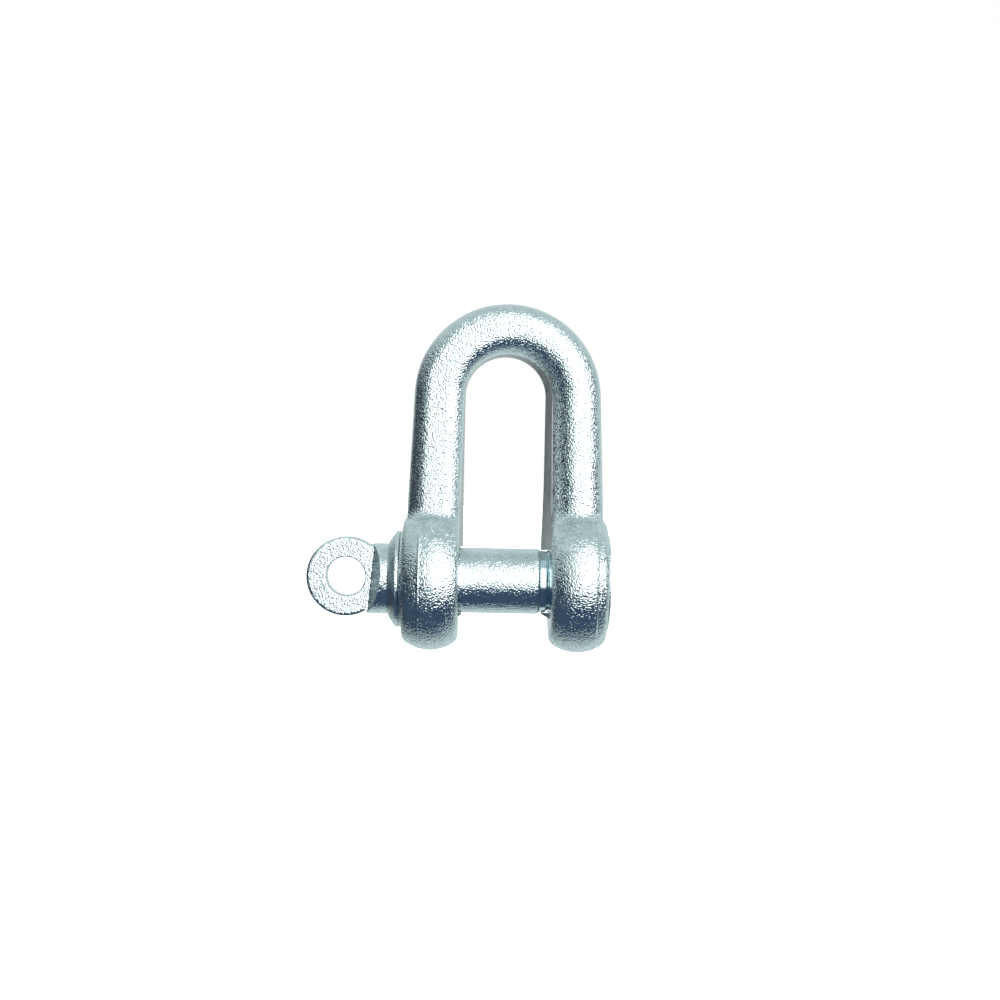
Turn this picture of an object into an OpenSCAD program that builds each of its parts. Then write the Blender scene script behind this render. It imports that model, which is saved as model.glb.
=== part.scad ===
// Screw-pin D shackle: a forged U with two eared ends, closed by a screwed pin.
// Origin on the pin's axis, midway between the ears. X along the pin, Z up to the crown.

/* [Bow and legs] */
// Diameter of the round bar in the bow
bar_d = 12.7; // [10.5:0.1:15.5]
// Diameter of each leg where it runs into its ear
leg_foot_d = 13.8; // [12:0.1:15]
// Radius of the bow, to the middle of the bar
bow_r = 17.25; // [15:0.05:20]
// Height of the bow's centre above the pin's axis
bow_h = 46.4; // [38:0.1:60]
// Radius of the hollow where a leg widens into its ear
shoulder_r = 4.5; // [2:0.5:7]

/* [Trimmed land inside the bow] */
// Width of the trimmed land, across the bar
land_w = 4.2; // [3:0.1:5]
// How far the land stands in from the right leg
land_right = 1.3; // [0.8:0.1:2.2]
// How far the land stands in from the left leg
land_left = 0.3; // [0.1:0.1:1]
// How far the land stands down from the crown
land_crown = 0.5; // [0.2:0.1:1]
// How far the land stands in from the tapped ear's inner face
land_tapped_ear = 2.3; // [1.5:0.1:2.8]
// How far the land stands in from the plain ear's inner face
land_plain_ear = 1; // [0.5:0.1:2.8]
// How far below the pin's axis the land ends
land_foot = 9.9; // [9.5:0.1:11]

/* [Ears] */
// Clear width between the two ears
jaw = 23; // [19:0.1:28]
// Thickness of each ear along the pin
ear_t = 14.2; // [11.8:0.1:17.1]
// Diameter of each ear
ear_d = 35.6; // [29.5:0.1:43]
// Radius of the crown across the ears' rims
ear_crown_r = 11; // [9:0.5:20]
// Rounding of the ears' edges
ear_edge_r = 2.5; // [1.5:0.1:4]
// Diameter of the round boss on the outside of each ear
boss_d = 24.6; // [22:0.1:27]
// Height of that boss
boss_h = 0.6; // [0.3:0.1:1.5]

/* [Pin] */
// Diameter of the plain shank
shank_d = 16.5; // [13.5:0.1:20]
// Radial clearance of the shank in the plain hole
shank_clearance = 0.6; // [0.58:0.01:0.9]
// Gap between the end of the shank and the tapped ear
shank_short = 2.9; // [2.6:0.1:4]
// How much smaller the thread is over its crests than the shank
thread_step = 0.6; // [0.4:0.1:1.5]
// Pitch of the thread
thread_pitch = 2; // [1.5:0.25:2.5]
// Depth of the thread
thread_depth = 1.2; // [0.8:0.1:1.5]
// Length of the slope from the shank down to the thread's root
runout_l = 1.6; // [1:0.1:2]
// Radial clearance of the thread's crests in the tapped hole
thread_clearance = 0.1; // [0.05:0.01:0.2]
// How far the pin's tip stays back from the boss of the tapped ear
tip_back = 0.5; // [0:0.1:2]
// Chamfer on the pin's tip and in the outer mouths of both holes
chamfer = 0.9; // [0.5:0.1:1.1]

/* [Collar, neck and eye] */
// Diameter of the collar's turned land
collar_d = 24.4; // [21:0.1:26]
// Thickness of that land
collar_land = 0.75; // [0.4:0.05:1.5]
// Thickness of the whole collar, land and slope together
collar_t = 2.9; // [2:0.1:4]
// Gap between the collar and the boss it closes on
collar_gap = 0.15; // [0.1:0.05:0.3]
// Diameter of the neck between the collar and the eye
neck_d = 17.8; // [15:0.1:19]
// Distance from the collar's outer end to the foot of the eye's flats
neck_l = 4.3; // [3:0.1:8]
// Slope of the shoulders where the flats end, in degrees
shoulder_slope = 24; // [10:1:40]
// Skew of those shoulders across the neck, in degrees
shoulder_skew = 5; // [0:1:8]
// Diameter of the eye
eye_d = 20; // [17:0.1:23]
// Thickness of the eye between its flats
eye_t = 6; // [4:0.1:8]
// Diameter of the hole in the eye
eye_hole_d = 9.8; // [6:0.1:12]
// Distance from the foot of the flats to the middle of the eye's hole
eye_reach = 6.3; // [5.5:0.1:10]
// Height of the middle of the eye's hole above the pin's axis
eye_rise = 0.5; // [0:0.1:1]

/* [Hidden] */
$fn = 96;
overlap = 1;
shoulder_inset = 0.3;
leg_proud = 0.1;

bar_r = bar_d / 2;
ear_in = jaw / 2;
ear_out = ear_in + ear_t;
ear_mid = ear_in + ear_t / 2;
ear_r = ear_d / 2;
boss_out = ear_out + boss_h;
hole_r = shank_d / 2 + shank_clearance;
thread_d = shank_d - thread_step;
tapped_r = thread_d / 2 + thread_clearance;

// Outward lean of the legs, which carries each one from the bow's end to the middle of its ear
leg_splay = acos(bow_r / norm([ear_mid, bow_h])) - atan2(bow_h, ear_mid);

// Height of the centres of the ears' edge roundings, and where the crown runs into them
edge_centre = ear_t / 2 - ear_edge_r;
edge_height = ear_r - ear_crown_r + sqrt(pow(ear_crown_r - ear_edge_r, 2) - pow(edge_centre, 2));
crown_half = edge_centre * ear_crown_r / (ear_crown_r - ear_edge_r);

// The punch that trims the inside of the bow, off centre by half the two lands' difference
land_mean = (land_right + land_left) / 2;
punch_r = bow_r - bar_r - land_mean;
punch_x = (land_left - land_right) / 2;
punch_z = bow_h + land_mean - land_crown;

// Places along the pin, from the tip to the eye
tip_x = boss_out - tip_back;
shank_end_x = ear_in - shank_short;
thread_start_x = shank_end_x + runout_l;
thread_root_r = thread_d / 2 - thread_depth;
thread_turns = floor((tip_x - chamfer - thread_start_x) / thread_pitch);
collar_x = -(boss_out + collar_gap);
collar_end_x = collar_x - collar_t;
flat_x = collar_end_x - neck_l;
eye_x = flat_x - eye_reach;

zinc = [0.70, 0.75, 0.77];
bright_zinc = [0.76, 0.81, 0.83];

// Turns what is drawn along +Z so that it lies along +X
module along_x() rotate([0, 90, 0]) children();

// The half ring of the bow, with its ends turned to meet the leaning legs
module bow() {
    translate([0, 0, bow_h]) rotate([90, 0, 0]) rotate([0, 0, leg_splay])
        rotate_extrude(angle = 180 - 2 * leg_splay)
            translate([bow_r, 0]) circle(r = bar_r);
}

// One leg, from the end of the bow down to the pin's axis, thickening on the way.
// It starts a hair thicker than the bow's bar, so that the two round faces meet in a plain step.
module leg() {
    leg_l = (bow_h + bow_r * sin(leg_splay)) / cos(leg_splay);
    translate([bow_r * cos(leg_splay), 0, bow_h + bow_r * sin(leg_splay)])
        rotate([0, 180 - leg_splay, 0])
            cylinder(h = leg_l, r1 = bar_r + leg_proud, r2 = leg_foot_d / 2);
}

// The ear's disc, with a crowned rim and rounded edges, and its outer boss
module ear() {
    along_x() {
        rotate_extrude() {
            translate([0, ear_in]) square([edge_height, ear_t]);
            for (side = [-1, 1])
                translate([edge_height, ear_mid + side * edge_centre]) circle(r = ear_edge_r);
            intersection() {
                translate([ear_r - ear_crown_r, ear_mid]) circle(r = ear_crown_r);
                translate([0, ear_mid - crown_half]) square([ear_r, 2 * crown_half]);
            }
        }
        translate([0, 0, ear_out - overlap])
            cylinder(h = boss_h + overlap, d = boss_d);
    }
}

// The hollow shoulders in front of and behind the leg, where it widens into the ear:
// a flare turned about the leg's foot, cut flush with the ear's two faces
module shoulders() {
    foot_r = leg_foot_d / 2 - shoulder_inset;
    reach = foot_r + shoulder_r;
    rise = sqrt(pow(ear_r + shoulder_r, 2) - pow(reach, 2));
    intersection() {
        translate([ear_mid, 0, 0]) rotate_extrude() difference() {
            polygon([[0, 0], [reach, rise], [0, rise]]);
            translate([reach, rise]) circle(r = shoulder_r);
        }
        translate([ear_in, -ear_r, 0]) cube([ear_t, ear_d, rise]);
    }
}

// The narrow land left standing inside the bow and the ears where the punch has trimmed them
module land() {
    translate([0, land_w / 2, 0]) rotate([90, 0, 0]) linear_extrude(land_w)
        difference() {
            union() {
                translate([0, bow_h]) circle(r = bow_r);
                polygon([
                    [-bow_r, bow_h], [bow_r, bow_h],
                    [ear_mid, 0], [ear_mid, -land_foot], [-ear_mid, -land_foot], [-ear_mid, 0]
                ]);
            }
            translate([punch_x, punch_z]) circle(r = punch_r);
            polygon([
                [punch_x - punch_r, punch_z], [punch_x + punch_r, punch_z],
                [ear_in - land_tapped_ear, 0], [ear_in - land_tapped_ear, -ear_r],
                [land_plain_ear - ear_in, -ear_r], [land_plain_ear - ear_in, 0]
            ]);
        }
}

// A hole along +X through an ear, with a chamfer at its outer mouth
module ear_hole(r) {
    along_x() {
        cylinder(h = boss_out + overlap, r = r);
        translate([0, 0, boss_out - chamfer])
            cylinder(h = chamfer + overlap, r1 = r, r2 = r + chamfer + overlap);
    }
}

module shackle_body() {
    color(zinc) difference() {
        union() {
            bow();
            for (side = [0, 1]) mirror([side, 0, 0]) {
                leg();
                ear();
                shoulders();
            }
            land();
        }
        ear_hole(tapped_r);
        mirror([1, 0, 0]) ear_hole(hole_r);
        // the shank's way through the land, as wide as the plain hole all the way across the jaw
        along_x() translate([0, 0, -ear_in]) cylinder(h = 2 * ear_in, r = hole_r);
    }
}

// Half section of the screwed end: the slope down from the shank, the grooves and the tip
module thread_profile() {
    crest_r = thread_d / 2;
    crest_w = thread_pitch / 8;
    groove = [for (i = [0 : thread_turns - 1]) let (x = thread_start_x + i * thread_pitch)
        each [
            [thread_root_r, x],
            [thread_root_r, x + crest_w],
            [crest_r, x + thread_pitch / 2],
            [crest_r, x + thread_pitch / 2 + crest_w]
        ]];
    polygon(concat(
        [[0, shank_end_x - overlap], [shank_d / 2, shank_end_x - overlap], [shank_d / 2, shank_end_x]],
        groove,
        [
            [thread_root_r, thread_start_x + thread_turns * thread_pitch],
            [crest_r - chamfer, tip_x],
            [0, tip_x]
        ]));
}

// Half section of the collar: a turned land, then a rounded slope down to the neck
module collar_profile() {
    slope_l = collar_t - collar_land;
    slope_h = (collar_d - neck_d) / 2;
    polygon(concat(
        [[0, collar_x], [collar_d / 2, collar_x], [collar_d / 2, collar_x - collar_land]],
        [for (a = [15 : 15 : 90]) [
            neck_d / 2 + slope_h * cos(a),
            collar_x - collar_land - slope_l * sin(a)
        ]],
        [[0, collar_end_x]]));
}

// The wedge that flattens one side of the neck and leaves a sloping shoulder
module eye_flat() {
    far = 2 * eye_d;
    translate([flat_x, -eye_t / 2, 0]) rotate([0, shoulder_skew, 0])
        translate([0, 0, -far / 2]) linear_extrude(far)
            polygon([[0, 0], [-far, 0], [-far, -far], [far * tan(shoulder_slope), -far]]);
}

module screw_pin() {
    color(bright_zinc) difference() {
        union() {
            along_x() {
                translate([0, 0, collar_x - overlap])
                    cylinder(h = shank_end_x - collar_x + overlap, d = shank_d);
                rotate_extrude() thread_profile();
                rotate_extrude() collar_profile();
            }
            // the neck and what is flattened of it
            intersection() {
                translate([eye_x, 0, 0]) along_x()
                    cylinder(h = collar_end_x - eye_x + overlap, d = neck_d);
                difference() {
                    translate([2 * eye_x, -eye_d, -eye_d]) cube([-2 * eye_x, 2 * eye_d, 2 * eye_d]);
                    for (side = [0, 1]) mirror([0, side, 0]) eye_flat();
                }
            }
            translate([eye_x, 0, eye_rise]) rotate([90, 0, 0])
                cylinder(h = eye_t, d = eye_d, center = true);
        }
        translate([eye_x, 0, eye_rise]) rotate([90, 0, 0])
            cylinder(h = eye_t + 2 * overlap, d = eye_hole_d, center = true);
    }
}

shackle_body();
screw_pin();
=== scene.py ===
import math

import bpy
import numpy as np
from mathutils import Matrix


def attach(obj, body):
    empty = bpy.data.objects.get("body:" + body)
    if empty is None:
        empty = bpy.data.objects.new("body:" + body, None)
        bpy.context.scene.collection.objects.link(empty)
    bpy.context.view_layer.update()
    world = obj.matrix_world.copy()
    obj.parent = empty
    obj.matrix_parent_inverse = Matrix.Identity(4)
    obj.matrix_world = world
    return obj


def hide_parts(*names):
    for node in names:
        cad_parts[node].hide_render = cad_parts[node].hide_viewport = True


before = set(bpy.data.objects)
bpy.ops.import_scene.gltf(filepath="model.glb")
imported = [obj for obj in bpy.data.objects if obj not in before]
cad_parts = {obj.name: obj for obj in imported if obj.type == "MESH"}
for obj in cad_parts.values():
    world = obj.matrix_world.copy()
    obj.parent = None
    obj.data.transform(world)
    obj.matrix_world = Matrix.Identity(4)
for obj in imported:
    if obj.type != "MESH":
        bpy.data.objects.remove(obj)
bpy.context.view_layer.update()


# ---------------------------------------------------------------- the forged body
# The bow, its two legs and both eared ends are one steel forging, blasted and then zinc plated.
# The punch that trimmed the inside left a narrow land, which is thick on the right leg.

def smooth_step(x, low, high):
    """0 up to low, 1 from high on, and 3t^2 - 2t^3 in between."""
    t = np.clip((x - low) / (high - low), 0, 1)
    return t * t * (3 - 2 * t)


def arc(centre, radius, start, end, count):
    """count points (across, along) on a circle's arc, from start to end in degrees."""
    a = np.radians(np.linspace(start, end, count))
    return np.stack([centre[0] + radius * np.cos(a), centre[1] + radius * np.sin(a)], 1)


def straight(start, end, step):
    """Points on a straight line about step apart, both ends included."""
    start, end = np.array(start, float), np.array(end, float)
    count = max(2, int(np.ceil(np.linalg.norm(end - start) / step)) + 1)
    return start + np.linspace(0, 1, count)[:, None] * (end - start)


def joined(*runs):
    """Runs of points one after the other, each point once."""
    points = np.concatenate(runs)
    fresh = np.ones(len(points), bool)
    fresh[1:] = np.linalg.norm(np.diff(points, axis=0), axis=1) > 1e-6
    return points[fresh]


def shell(grid, finish=0, wrap_rows=False, capped=False):
    """A closed skin over a grid of points [row, column, xyz] whose columns run in a ring.
    Rows join up in a ring too, or each end row is closed on its own middle point."""
    rows, columns = grid.shape[:2]
    points = grid.reshape(-1, 3)
    row = np.arange(rows if wrap_rows else rows - 1)[:, None]
    column = np.arange(columns)[None, :]
    after, beside = (row + 1) % rows, (column + 1) % columns
    quads = np.stack([row * columns + column, row * columns + beside,
                      after * columns + beside, after * columns + column], -1).reshape(-1, 4)
    fans = np.zeros((0, 3), int)
    if capped:
        ring = np.arange(columns)
        last = (rows - 1) * columns
        middles = np.array([grid[0].mean(0), grid[-1].mean(0)])
        fans = np.concatenate([
            np.stack([np.full(columns, len(points)), np.roll(ring, -1), ring], 1),
            np.stack([np.full(columns, len(points) + 1), last + ring, last + np.roll(ring, -1)], 1)])
        points = np.concatenate([points, middles])
    corners = np.concatenate([quads[:, [0, 1, 2]], quads[:, [0, 2, 3]], fans])
    a, b, c = (points[corners[:, i]] for i in range(3))
    if np.einsum("ij,ij->i", a, np.cross(b, c)).sum() < 0:
        quads, fans = quads[:, ::-1], fans[:, ::-1]
    if np.isscalar(finish):
        finish = np.full(len(quads), finish)
    return points, quads, fans, np.concatenate([finish, np.full(len(fans), finish[0])])


def piece_from(name, shells, finishes, crease):
    """One mesh object out of closed skins, whose edges sharper than crease degrees stay sharp."""
    points = np.concatenate([s[0] for s in shells]) / 1000
    starts = np.cumsum([0] + [len(s[0]) for s in shells])
    faces = [np.concatenate([(s[1] + o).ravel(), (s[2] + o).ravel()]) for s, o in zip(shells, starts)]
    sizes = np.concatenate([[4] * len(s[1]) + [3] * len(s[2]) for s in shells])
    mesh = bpy.data.meshes.new(name)
    mesh.vertices.add(len(points))
    mesh.vertices.foreach_set("co", points.astype(np.float32).ravel())
    mesh.loops.add(int(sizes.sum()))
    mesh.loops.foreach_set("vertex_index", np.concatenate(faces).astype(np.int32))
    mesh.polygons.add(len(sizes))
    mesh.polygons.foreach_set("loop_start", np.concatenate([[0], np.cumsum(sizes)[:-1]]).astype(np.int32))
    mesh.polygons.foreach_set("loop_total", sizes.astype(np.int32))
    mesh.polygons.foreach_set("material_index", np.concatenate([s[3] for s in shells]).astype(np.int32))
    mesh.update(calc_edges=True)
    mesh.shade_smooth()
    mesh.set_sharp_from_angle(angle=math.radians(crease))
    for finish in finishes:
        mesh.materials.append(finish)
    piece = bpy.data.objects.new(name, mesh)
    bpy.context.scene.collection.objects.link(piece)
    return piece


def forged(points, seed, amount=0.05, clear=9.4):
    """The uneven skin of a forging: each point moves by a sum of slow sine waves, at most amount mm
    along each axis, and not at all within clear mm of the pin's axis, where the holes are machined."""
    rng = np.random.default_rng(seed)
    moved = np.zeros_like(points)
    for wave in rng.uniform(5, 16, 9):
        heading = rng.normal(size=3)
        heading *= 2 * math.pi / wave / np.linalg.norm(heading)
        moved += rng.normal(size=3) * np.sin(points @ heading + rng.uniform(0, 6.28))[..., None]
    moved *= amount / 6
    radial = np.hypot(points[..., 1], points[..., 2])
    return points + np.clip(moved, -amount, amount) * smooth_step(radial, clear, clear + 3)[..., None]


def thread(x, turn):
    """Radius in mm of the pin's M16 x 2 thread at x along the pin and turn round it, in radians:
    a trapezium wave with rounded corners that climbs one pitch a turn, with narrow crests and roots."""
    pitch, root_r, depth = 2, 6.75, 1.2
    phase = (x / pitch - turn / (2 * math.pi)) % 1
    height = np.clip((0.5 - np.abs(phase - 0.5)) * 1.35 / 0.5 - 0.17, 0, 1)
    return root_r + depth * height * height * (3 - 2 * height)


def rim_outline(rim_r=17.75, crown_r=11, edge_r=2.5, half=7.1):
    """Centre height and edge offset of an ear's rounded edges, which run tangent into its crown."""
    offset = half - edge_r
    return rim_r - crown_r + math.sqrt((crown_r - edge_r) ** 2 - offset ** 2), offset


def rim_radius(across, rim_r=17.75, crown_r=11, edge_r=2.5):
    """Radius of an ear's rim that far from its middle plane: crown, then rounded edge."""
    edge_at, offset = rim_outline(rim_r, crown_r, edge_r)
    across = np.abs(across)
    crown = rim_r - crown_r + np.sqrt(crown_r ** 2 - np.minimum(across, 6) ** 2)
    edge = edge_at + np.sqrt(np.clip(edge_r ** 2 - np.clip(across - offset, 0, edge_r) ** 2, 0, None))
    return np.where(across < offset * crown_r / (crown_r - edge_r), crown, edge)


def bar_shell():
    """The bar, swept along leg, bow and leg. It is round with slight flats where the dies closed. From
    19 mm down each point's depth follows a hollow of radius 4 that is tangent to the leg's side and to
    the ear's rim at that point's distance across, and then goes under the rim."""
    ear_mid, bow_r, bow_h = 18.6, 17.25, 46.4
    foot, fine_top, foot_r, taper, hollow_r = 12, 20.5, 6.87, 0.57, 4
    reach = math.hypot(ear_mid, bow_h)
    splay = math.acos(bow_r / reach) - math.atan2(bow_h, ear_mid)
    leg_l = math.sqrt(reach ** 2 - bow_r ** 2)
    up = np.concatenate([np.arange(foot, fine_top, 0.2), np.linspace(fine_top, leg_l, 44)[1:]])
    leg = np.stack([ear_mid - up * math.sin(splay), up * math.cos(splay)], 1)
    out = np.tile([math.cos(splay), math.sin(splay)], (len(up), 1))
    turn = np.linspace(splay, math.pi - splay, 92)[1:-1]
    ring = np.stack([np.cos(turn), np.sin(turn)], 1)
    mirror = np.array([-1, 1])
    path = np.concatenate([leg, ring * bow_r + [0, bow_h], (leg * mirror)[::-1]])
    outward = np.concatenate([out, ring, (out * mirror)[::-1]])
    height = np.concatenate([up, np.full(len(turn), leg_l), up[::-1]])[:, None]

    along = np.linspace(0, 1, len(path))[:, None]
    flat = 0.3 + 1.7 * smooth_step(along, 0.35, 0.6)
    corner = foot_r - taper * height / leg_l - flat
    side = np.linspace(0, 2 * math.pi, 144, endpoint=False) + math.pi / 144
    across = flat * np.sign(np.cos(side)) + corner * np.cos(side)
    deep = np.abs(flat * np.sign(np.sin(side)) + corner * np.sin(side))
    rim = rim_radius(np.clip(across, -7, 7))
    hollow_z = np.sqrt((rim + hollow_r) ** 2 - (deep + hollow_r) ** 2)
    touch = hollow_z * rim / (rim + hollow_r)
    hollow = deep + hollow_r - np.sqrt(hollow_r ** 2 - np.clip(hollow_z - height, 0, hollow_r) ** 2)
    under = np.sqrt(np.clip((rim - 0.5 * (touch - height)) ** 2 - height ** 2, 0, None))
    deep = np.where(height > hollow_z, deep, np.where(height > touch, hollow, under)) * np.sign(np.sin(side))
    grid = np.stack([path[:, :1] + outward[:, :1] * across, deep, path[:, 1:] + outward[:, 1:] * across], -1)
    return shell(forged(grid, 11), capped=True)


def ear_shell(sign):
    """One ear, turned about the pin's axis: a closed outline of hole wall, boss, face, rounded edges and
    a rim crowned with radius 11. The tapped ear's hole wall carries the pin's thread 0.12 mm further out."""
    hole = 8.85 if sign < 0 else 8.05
    crown_r, edge_r, rim_r, mid = 11, 2.5, 17.75, 18.6
    inside, outside, boss_r, boss_at, fillet, chamfer, clearance = 11.5, 25.7, 12.3, 26.3, 0.3, 0.9, 0.12
    edge_at, offset = rim_outline()
    tilt = math.degrees(math.asin(offset / (crown_r - edge_r)))
    rim = joined(arc((edge_at, mid + offset), edge_r, 90, tilt, 9),
                 arc((rim_r - crown_r, mid), crown_r, tilt, -tilt, 90),
                 arc((edge_at, mid - offset), edge_r, -tilt, -90, 9))
    line_at = 21.4 if sign < 0 else 22.6
    rim[:, 0] += 0.2 * np.exp(-((rim[:, 1] - line_at) / 0.2) ** 2)
    wall = straight((hole, inside), (hole, boss_at - chamfer), 0.1 if sign > 0 else 1)
    face = joined(straight((hole + chamfer, boss_at), (boss_r - fillet, boss_at), 1),
                  arc((boss_r - fillet, boss_at - fillet), fillet, 90, 0, 4),
                  arc((boss_r + fillet, outside + fillet), fillet, 180, 270, 4),
                  straight((boss_r + fillet, outside), (edge_at, outside), 1))
    inner = straight((edge_at, inside), (hole, inside), 1)
    outline = joined(wall, face, rim, inner)[:-1]
    turn = np.linspace(0, 2 * math.pi, 144, endpoint=False)
    radius = np.repeat(outline[:, :1], len(turn), 1)
    along = np.repeat(outline[:, 1:], len(turn), 1)
    if sign > 0:
        tapped = thread(along, turn) + clearance
        fade = smooth_step(along, 11.5, 12.1) * (1 - smooth_step(along, 24.6, 25.3))
        on_wall = np.arange(len(outline))[:, None] < len(wall)
        radius = np.where(on_wall, radius + (np.minimum(tapped, radius) - radius) * fade, radius)
    grid = np.stack([sign * along, -radius * np.sin(turn), radius * np.cos(turn)], -1)
    return shell(forged(grid, 11, clear=12.8), wrap_rows=True)


def land_shells():
    """The trimmed land. Its crest follows the punch: near upright lines x = 9.6 and -10.75 joined by a
    circle of radius 10.1 about (-0.5, 46.7). From the crest a flat facet falls forwards to the bar and a
    steep one backwards. Below the hole a wedge of it is left standing on each ear."""
    right, left = np.linspace(7.9, 46.65, 60), np.linspace(8.45, 46.65, 60)
    turn = np.linspace(0, math.pi, 62)[1:-1]
    crest = np.concatenate([np.stack([9.6 - 0.4 * (1 - smooth_step(right, 8, 26)), right], 1),
                            np.stack([10.17 * np.cos(turn) - 0.57, 10.1 * np.sin(turn) + 46.7], 1),
                            np.stack([-10.75 + 0.15 * (1 - smooth_step(left, 8, 26)), left], 1)[::-1]])
    root = np.concatenate([np.stack([12.35 - 0.45 * smooth_step(right, 10, 46),
                                     right + 0.35 * (1 - smooth_step(right, 8, 12))], 1),
                           np.stack([11.9 * np.cos(turn), 11.9 * np.sin(turn) + 46.4], 1),
                           np.stack([-12.35 + 0.45 * smooth_step(left, 10, 46), left], 1)[::-1]])
    away = crest - root
    away /= np.linalg.norm(away, axis=1)[:, None]
    section = [(root, -2.2), (root + away * 0.7, -2.2), (crest - away * 0.12, 1.2), (crest, 1.45),
               (crest - away * 0.12, 1.7), (root + away * 0.7, 2.3), (root, 2.3)]
    grid = np.stack([np.stack([p[:, 0], np.full(len(p), y), p[:, 1]], -1) for p, y in section], 1)
    shells = [shell(grid, 1, capped=True)]
    for x0, x1, top in ((9.5, 11.8, -7.92), (-10.7, -11.8, -8.45)):
        x = np.linspace(x0, x1, 6)
        brow = top - 0.1 * np.abs(x - x0)
        foot = brow - 0.2 - 1.3 * np.abs(x - x0) / 2.6
        grid = np.stack([np.stack([x, np.full(6, y), z], -1) for y, z in
                         ((-2.1, brow), (2.1, brow), (1.7, foot), (-1.7, foot))], 1)
        shells.append(shell(grid, 1, capped=True))
    return shells


def noise(tree, scale, detail, where):
    """A noise texture of that many features a metre."""
    texture = tree.nodes.new("ShaderNodeTexNoise")
    texture.inputs["Scale"].default_value = scale
    texture.inputs["Detail"].default_value = detail
    tree.links.new(where, texture.inputs["Vector"])
    return texture


def ramp(tree, value, stops):
    """Values or colours along 0 to 1."""
    curve = tree.nodes.new("ShaderNodeValToRGB")
    while len(curve.color_ramp.elements) < len(stops):
        curve.color_ramp.elements.new(0.5)
    for element, (at, colour) in zip(curve.color_ramp.elements, stops):
        element.position = at
        element.color = (*colour, 1) if hasattr(colour, "__len__") else (colour, colour, colour, 1)
    tree.links.new(value, curve.inputs[0])
    return curve.outputs["Color"]


def plated(name, dark, light, rough, grain, depth, blotch=500):
    """Zinc plating. Slow noise tints it between two colours and varies its polish; fine noise, grain
    features a metre, stands depth metres high as a bump."""
    finish = bpy.data.materials.new(name)
    finish.use_nodes = True
    tree = finish.node_tree
    metal = tree.nodes["Principled BSDF"]
    where = tree.nodes.new("ShaderNodeTexCoord").outputs["Object"]
    slow = noise(tree, blotch, 3, where).outputs["Fac"]
    fine = noise(tree, grain, 0, where).outputs["Fac"]
    tree.links.new(ramp(tree, slow, [(0.3, dark), (0.7, light)]), metal.inputs["Base Color"])
    tree.links.new(ramp(tree, slow, [(0.3, rough[0]), (0.7, rough[1])]), metal.inputs["Roughness"])
    bump = tree.nodes.new("ShaderNodeBump")
    bump.inputs["Strength"].default_value = 1
    bump.inputs["Distance"].default_value = depth
    tree.links.new(fine, bump.inputs["Height"])
    tree.links.new(bump.outputs["Normal"], metal.inputs["Normal"])
    metal.inputs["Metallic"].default_value = 1
    return finish


forging_zinc = plated("blasted_zinc", (0.66, 0.75, 0.76), (0.80, 0.86, 0.87), (0.07, 0.13), 2600, 0.00019)
land_zinc = plated("trimmed_land", (0.62, 0.62, 0.61), (0.72, 0.71, 0.70), (0.45, 0.6), 900, 0.00003)
body = piece_from("forged_body", [bar_shell(), ear_shell(1), ear_shell(-1), *land_shells()],
                  [forging_zinc, land_zinc], 38)
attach(body, "body")
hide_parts("shackle_body")


# ---------------------------------------------------------------- the screw pin
# One steel part, turned, threaded and zinc plated: plain shank, thread, collar and flattened eye.
# It passes the plain ear with room to spare and is screwed into the other one.

def shank_shell():
    """Shank, run-out, thread and collar, turned about the pin's axis. The radius is a half section in x;
    over the threaded end it is the smaller of that and the thread's own winding radius."""
    section = joined(
        straight((6.0, -30.4), (8.6, -29.9), 0.5),
        straight((8.6, -29.9), (8.62, -29.4), 0.2),
        np.array([(8.95, -29.32), (9.35, -29.2), (10.0, -28.85), (10.75, -28.38), (11.3, -27.95),
                  (11.7, -27.62), (11.95, -27.48), (12.08, -27.42), (12.17, -27.34)]),
        straight((12.2, -27.25), (12.2, -26.6), 0.1),
        np.array([(12.12, -26.5), (12.0, -26.45)]),
        straight((12.0, -26.45), (8.25, -26.45), 0.6),
        straight((8.25, -26.45), (8.25, 8.3), 0.6),
        arc((7.95, 8.3), 0.3, 0, 45, 4),
        straight((8.12, 8.6), (7.78, 8.9), 0.12),
        straight((7.76, 9.0), (7.74, 10.3), 0.1))
    body_rows = len(section)
    tip, runout_r, crest_r = 25.8, 7.74, 7.9
    x = np.arange(10.35, tip, 0.08)
    section = np.concatenate([section, np.stack([np.full(len(x), 9.0), x], 1), [[9.0, tip]]])
    turn = np.linspace(0, 2 * math.pi, 200, endpoint=False)
    radius = np.repeat(section[:, :1], len(turn), 1)
    along = np.repeat(section[:, 1:], len(turn), 1)
    wound = np.maximum(thread(along, turn), 7.5 - 0.45 * (along - 10.3))
    wound = np.minimum(wound, crest_r - np.clip(along - 24.9, 0, 0.9) * 1.05)
    start = smooth_step(along, 10.3, 10.9)
    threaded = np.arange(len(section))[:, None] >= body_rows
    radius = np.where(threaded, runout_r + (wound - runout_r) * start, radius)
    grid = np.stack([along, -radius * np.sin(turn), radius * np.cos(turn)], -1)
    steps = len(section) - 1
    at = (section[1:, 1] + section[:-1, 1]) / 2
    finish = np.zeros(steps, int)
    finish[at > 8.45] = 1
    finish[(at > -26.8) & (at < -26.44)] = 2
    return shell(grid, np.repeat(finish, len(turn)), capped=True)


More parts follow.
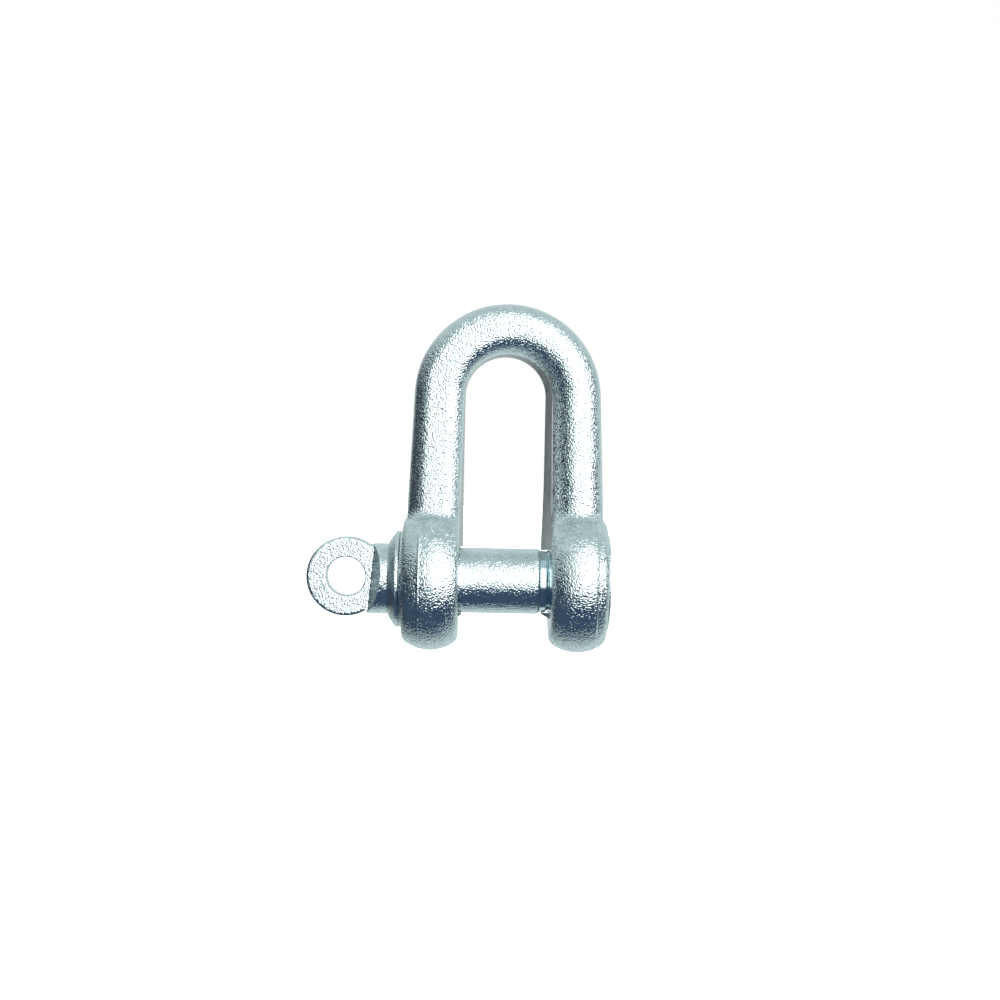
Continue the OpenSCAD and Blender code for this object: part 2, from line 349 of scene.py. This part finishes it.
def neck_shell():
    """The neck is a round of radius 8.9 with both sides cut down to flats 6 mm apart. Each ring is two
    arcs and two flats; beyond x = -33.65 the flats draw apart along shoulders that slope 24 degrees,
    and every point slides along x with its height, so that the shoulders lie 5 degrees askew."""
    x = np.concatenate([np.linspace(-34.85, -33.75, 8), [-33.65], np.linspace(-33.6, -31.16, 18), [-31.1],
                        np.linspace(-31, -29.0, 8)])
    half_flat, flats_end, slope, skew = 3, -33.65, 24, 5
    round_r = 8.5 + 0.4 * smooth_step(x, -34.9, -33.4)
    half = half_flat + np.clip(x - flats_end, 0, None) / math.tan(math.radians(slope))
    half = np.minimum(half, round_r * 0.9995)
    corner = np.arcsin(half / round_r)
    round_r = round_r[:, None]
    share = np.linspace(-1, 1, 40)
    arc_turn = corner[:, None] * share
    deep = np.concatenate([round_r * np.sin(arc_turn), np.repeat(half[:, None], 38, 1),
                           -round_r * np.sin(arc_turn), np.repeat(-half[:, None], 38, 1)], 1)
    top = round_r * np.cos(corner)[:, None]
    flat = share[1:-1]
    high = np.concatenate([round_r * np.cos(arc_turn), -top * flat,
                           -round_r * np.cos(arc_turn), top * flat], 1)
    lean = math.tan(math.radians(skew)) * (1 - smooth_step(x, -31.0, -29.4)) * smooth_step(x, -34.9, -33.8)
    grid = np.stack([x[:, None] + high * lean[:, None], deep, high], -1)
    return shell(forged(grid, 23, 0.05, 0), 0, capped=True)


def eye_shell():
    """The eye's ring: a rounded rectangle 5 mm wide and 6 mm thick, turned about the hole's axis, which
    lies 0.5 mm above the pin's."""
    corner, mouth = 0.75, 0.3
    section = joined(arc((9.95 - corner, 2.98 - corner), corner, 90, 0, 7),
                     straight((9.95, 2.2), (9.95, -2.2), 0.8),
                     arc((9.95 - corner, corner - 2.98), corner, 0, -90, 7),
                     straight((9.1, -2.98), (5.3, -2.98), 0.6),
                     arc((4.9 + mouth, mouth - 2.98), mouth, 270, 180, 5),
                     straight((4.9, -2.6), (4.9, 2.6), 0.8),
                     arc((4.9 + mouth, 2.98 - mouth), mouth, 180, 90, 5),
                     straight((5.3, 2.98), (9.1, 2.98), 0.6))
    turn = np.linspace(0, 2 * math.pi, 140, endpoint=False)[:, None]
    radius, deep = section[:, 0], np.repeat(section[None, :, 1], len(turn), 0)
    grid = np.stack([-39.95 + radius * np.cos(turn), deep, 0.5 + radius * np.sin(turn)], -1)
    return shell(forged(grid, 23, 0.05, 0), 0, wrap_rows=True)


pin_zinc = plated("pin_zinc", (0.66, 0.75, 0.77), (0.80, 0.86, 0.88), (0.07, 0.13), 2800, 0.00014)
thread_zinc = plated("thread_zinc", (0.52, 0.70, 0.74), (0.72, 0.84, 0.86), (0.08, 0.16), 700, 0.00003)
turned_zinc = plated("turned_zinc", (0.70, 0.78, 0.78), (0.82, 0.88, 0.88), (0.14, 0.22), 2500, 0.00002)
pin = piece_from("screw_pin_turned", [shank_shell(), neck_shell(), eye_shell()],
                 [pin_zinc, thread_zinc, turned_zinc], 38)
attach(pin, "pin")
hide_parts("screw_pin")


# ---------------------------------------------------------------- the stage
# A plain white floor just under the ears, which fills the view.

floor_mesh = bpy.data.meshes.new("floor")
floor_z = -0.0182
floor_mesh.from_pydata([(-3, -3, floor_z), (3, -3, floor_z), (3, 9, floor_z), (-3, 9, floor_z)],
                       [], [(0, 1, 2, 3)])
floor = bpy.data.objects.new("floor", floor_mesh)
bpy.context.scene.collection.objects.link(floor)
white = bpy.data.materials.new("white_floor")
white.use_nodes = True
white.node_tree.nodes["Principled BSDF"].inputs["Base Color"].default_value = (0.9, 0.9, 0.9, 1)
white.node_tree.nodes["Principled BSDF"].inputs["Emission Color"].default_value = (1, 1, 1, 1)
white.node_tree.nodes["Principled BSDF"].inputs["Emission Strength"].default_value = 1
floor_mesh.materials.append(white)
floor.visible_glossy = False
floor.visible_diffuse = False


# ---------------------------------------------------------------- the light
# A white tent with one large soft window in front, and darker cloths below, to the left and to the right.

def tent():
    """The world's colour by direction. Two angles are measured from the way to the viewer: aside in the
    level plane and above it in the upright one. Each cloth is a band of these angles with soft edges."""
    world = bpy.data.worlds.new("tent")
    bpy.context.scene.world = world
    world.use_nodes = True
    tree = world.node_tree
    tree.nodes.clear()

    def maths(kind, first, second=None):
        step = tree.nodes.new("ShaderNodeMath")
        step.operation = kind
        for socket, value in zip(step.inputs, (first, second)):
            if isinstance(value, (int, float)):
                socket.default_value = value
            elif value is not None:
                tree.links.new(value, socket)
        return step.outputs[0]

    axes = tree.nodes.new("ShaderNodeSeparateXYZ")
    tree.links.new(tree.nodes.new("ShaderNodeTexCoord").outputs["Generated"], axes.inputs[0])
    front = maths("MULTIPLY", axes.outputs["Y"], -1)
    aside = maths("MULTIPLY", maths("ARCTAN2", axes.outputs["X"], front), 180 / math.pi)
    above = maths("MULTIPLY", maths("ARCTAN2", axes.outputs["Z"], front), 180 / math.pi)

    def band(angle, low, high, soft):
        edges = []
        for start, end in ((low - soft, low + soft), (high + soft, high - soft)):
            edge = tree.nodes.new("ShaderNodeMapRange")
            edge.interpolation_type = "SMOOTHSTEP"
            edge.inputs["From Min"].default_value = start
            edge.inputs["From Max"].default_value = end
            tree.links.new(angle, edge.inputs["Value"])
            edges.append(edge.outputs["Result"])
        return maths("MULTIPLY", *edges)

    level = tree.nodes.new("ShaderNodeMapRange")
    level.interpolation_type = "SMOOTHSTEP"
    level.inputs["From Min"].default_value = 0.65
    level.inputs["From Max"].default_value = 0.2
    tree.links.new(axes.outputs["Z"], level.inputs["Value"])
    level = level.outputs["Result"]

    colour = (0.66, 0.77, 0.77)
    for share, cloth in (
            (band(above, 55, 125, 10), (0.54, 0.64, 0.65)),
            (maths("MULTIPLY", band(aside, -146, -30, 8), level), (0.05, 0.06, 0.07)),
            (maths("MULTIPLY", band(aside, 78, 106, 6), level), (0.06, 0.08, 0.10)),
            (band(above, -112, -20, 6), (0.05, 0.085, 0.14)),
            (maths("MULTIPLY", band(aside, -4, 73, 4), band(above, -16, 50, 5)), (2.7, 2.7, 2.7))):
        mix = tree.nodes.new("ShaderNodeMix")
        mix.data_type = "RGBA"
        tree.links.new(share, mix.inputs["Factor"])
        if isinstance(colour, tuple):
            mix.inputs[6].default_value = (*colour, 1)
        else:
            tree.links.new(colour, mix.inputs[6])
        mix.inputs[7].default_value = (*cloth, 1)
        colour = mix.outputs[2]
    lit = tree.nodes.new("ShaderNodeBackground")
    tree.links.new(colour, lit.inputs["Color"])
    plain = tree.nodes.new("ShaderNodeBackground")
    plain.inputs["Color"].default_value = (1, 1, 1, 1)
    seen = tree.nodes.new("ShaderNodeMixShader")
    tree.links.new(tree.nodes.new("ShaderNodeLightPath").outputs["Is Camera Ray"], seen.inputs[0])
    tree.links.new(lit.outputs[0], seen.inputs[1])
    tree.links.new(plain.outputs[0], seen.inputs[2])
    tree.links.new(seen.outputs[0], tree.nodes.new("ShaderNodeOutputWorld").inputs[0])


tent()
bpy.context.scene.view_settings.view_transform = "Standard"


# ---------------------------------------------------------------- the camera
# Straight from the front at the height of the pin, 400 mm away, very slightly rolled.

def camera():
    """The view turns by yaw about Z, is laid level, and rolls about the line of sight. The camera stands
    back by its distance, and its place is the inverse of that. The view is 1 / views_a_metre wide."""
    yaw, roll, back, views_a_metre = 0.015, -0.021, 0.400, 3.94
    turn = (Matrix.Rotation(roll, 4, "Z") @ Matrix.Rotation(-math.pi / 2, 4, "X")
            @ Matrix.Rotation(yaw, 4, "Z"))
    lens = bpy.data.cameras.new("camera")
    lens.sensor_width = 36
    lens.lens = views_a_metre * back * lens.sensor_width
    eye = bpy.data.objects.new("camera", lens)
    bpy.context.scene.collection.objects.link(eye)
    eye.matrix_world = (Matrix.Translation((0.00104, -0.0205, -back)) @ turn).inverted()
    bpy.context.scene.camera = eye


camera()
